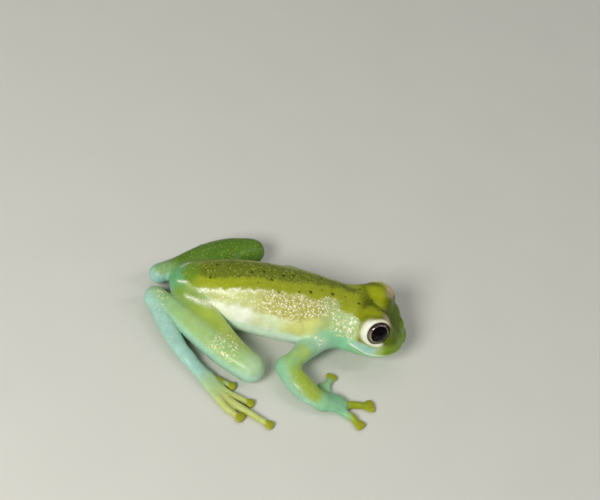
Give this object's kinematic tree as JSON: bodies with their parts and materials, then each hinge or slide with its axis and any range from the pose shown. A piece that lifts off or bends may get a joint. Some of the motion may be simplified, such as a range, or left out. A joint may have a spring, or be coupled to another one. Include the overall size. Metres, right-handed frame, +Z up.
{
  "type": "glass frog",
  "caption": "Life-size resting glass frog with folded hind legs, one webbed hind foot stretched out, disc-tipped digits and bulging side-facing eyes.",
  "frame": {"origin": "middle of the frog's length and width on the level it rests on", "axes": "+X forward from the vent towards the snout, +Y towards the frog's left side, +Z up from the resting level"},
  "size_m": [0.0284, 0.0249, 0.0074],
  "materials": {
    "torso": "moist satin skin",
    "head": "moist satin skin",
    "lower_jaw": "moist satin skin",
    "eye_left": "wet gloss",
    "eye_right": "wet gloss",
    "upper_arm_right": "moist satin skin",
    "forearm_right": "moist satin skin",
    "hand_right": "moist satin skin",
    "thigh_right": "moist satin skin",
    "shank_right": "moist satin skin",
    "tarsus_right": "moist translucent skin",
    "foot_right": "moist satin skin",
    "upper_arm_left": "moist satin skin",
    "forearm_left": "moist satin skin",
    "hand_left": "moist satin skin",
    "thigh_left": "moist satin skin",
    "shank_left": "moist satin skin",
    "tarsus_left": "moist translucent skin",
    "foot_left": "moist satin skin"
  },
  "bodies": {
    "root": {"torso": "torso", "head": "head", "lower_jaw": "lower_jaw", "eye_left": "eye_left", "eye_right": "eye_right", "upper_arm_right": "upper_arm_right", "forearm_right": "forearm_right", "hand_right": "hand_right", "thigh_right": "thigh_right", "shank_right": "shank_right", "tarsus_right": "tarsus_right", "foot_right": "foot_right", "upper_arm_left": "upper_arm_left", "forearm_left": "forearm_left", "hand_left": "hand_left", "thigh_left": "thigh_left", "shank_left": "shank_left", "tarsus_left": "tarsus_left", "foot_left": "foot_left"}
  },
  "joints": []
}
